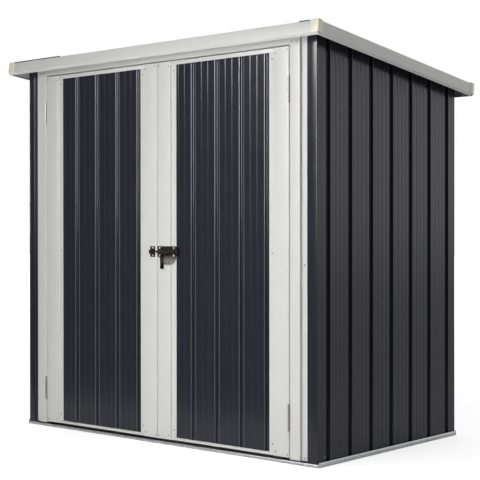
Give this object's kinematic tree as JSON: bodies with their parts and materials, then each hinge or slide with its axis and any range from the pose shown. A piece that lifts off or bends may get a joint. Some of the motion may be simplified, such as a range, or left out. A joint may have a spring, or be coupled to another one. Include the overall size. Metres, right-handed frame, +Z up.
{
  "type": "metal tool shed",
  "caption": "Lean-to metal tool shed with ribbed charcoal walls, off-white roof trim and door frames, paired front doors that swing open and a sliding latch bolt.",
  "frame": {"origin": "on the ground, under the middle of the roof's outline", "axes": "+X along the front towards the right, +Y from the doors to the back wall, +Z up"},
  "size_m": [1.94, 1.2302, 1.8113],
  "materials": {
    "charcoal_sheet": "satin paint",
    "white_trim": "satin paint",
    "cream_plastic": "moulded",
    "galvanised_steel": "galvanised",
    "hinge_steel": "zinc plated",
    "latch_nickel": "polished black nickel"
  },
  "bodies": {
    "root": {"base_rail_front": "galvanised_steel", "base_rail_back": "galvanised_steel", "base_rail_left": "galvanised_steel", "base_rail_right": "galvanised_steel", "wall_left_front": "charcoal_sheet", "wall_left_rear": "charcoal_sheet", "wall_right_front": "charcoal_sheet", "wall_right_rear": "charcoal_sheet", "wall_back_left": "charcoal_sheet", "wall_back_middle": "charcoal_sheet", "wall_back_right": "charcoal_sheet", "front_corner_left": "charcoal_sheet", "front_corner_right": "charcoal_sheet", "back_corner_posts": "galvanised_steel", "wall_mid_rails": "galvanised_steel", "wall_top_rails": "galvanised_steel", "roof_beam": "galvanised_steel", "door_jamb_left": "white_trim", "door_jamb_right": "white_trim", "door_header": "white_trim", "roof_sheet_left": "charcoal_sheet", "roof_sheet_middle": "charcoal_sheet", "roof_sheet_right": "charcoal_sheet", "fascia_front": "white_trim", "fascia_back": "white_trim", "fascia_left": "white_trim", "fascia_right": "white_trim", "roof_corner_caps": "cream_plastic", "hinge_jamb_leaves": "hinge_steel"},
    "left_door": {"left_door_hinge_stile": "white_trim", "left_door_lock_stile": "white_trim", "left_door_top_rail": "white_trim", "left_door_bottom_rail": "white_trim", "left_door_panel": "charcoal_sheet", "left_door_hinge_leaves": "hinge_steel", "latch_keeper": "latch_nickel"},
    "right_door": {"right_door_hinge_stile": "white_trim", "right_door_lock_stile": "white_trim", "right_door_top_rail": "white_trim", "right_door_bottom_rail": "white_trim", "right_door_panel": "charcoal_sheet", "right_door_hinge_leaves": "hinge_steel", "latch_plate": "latch_nickel"},
    "latch_bolt": {"latch_bolt": "latch_nickel"}
  },
  "joints": [
    {"name": "left_door_hinge", "type": "hinge", "parent": "root", "child": "left_door", "pos_m": [-0.765, -0.54544, 0.878], "axis": [0, 0, -1], "range_deg": [0, 110]},
    {"name": "right_door_hinge", "type": "hinge", "parent": "root", "child": "right_door", "pos_m": [0.765, -0.54544, 0.878], "axis": [0, 0, 1], "range_deg": [0, 110]},
    {"name": "bolt_slide", "type": "slide", "parent": "right_door", "child": "latch_bolt", "axis": [-1, 0, 0], "range_m": [0, 0.027]}
  ]
}
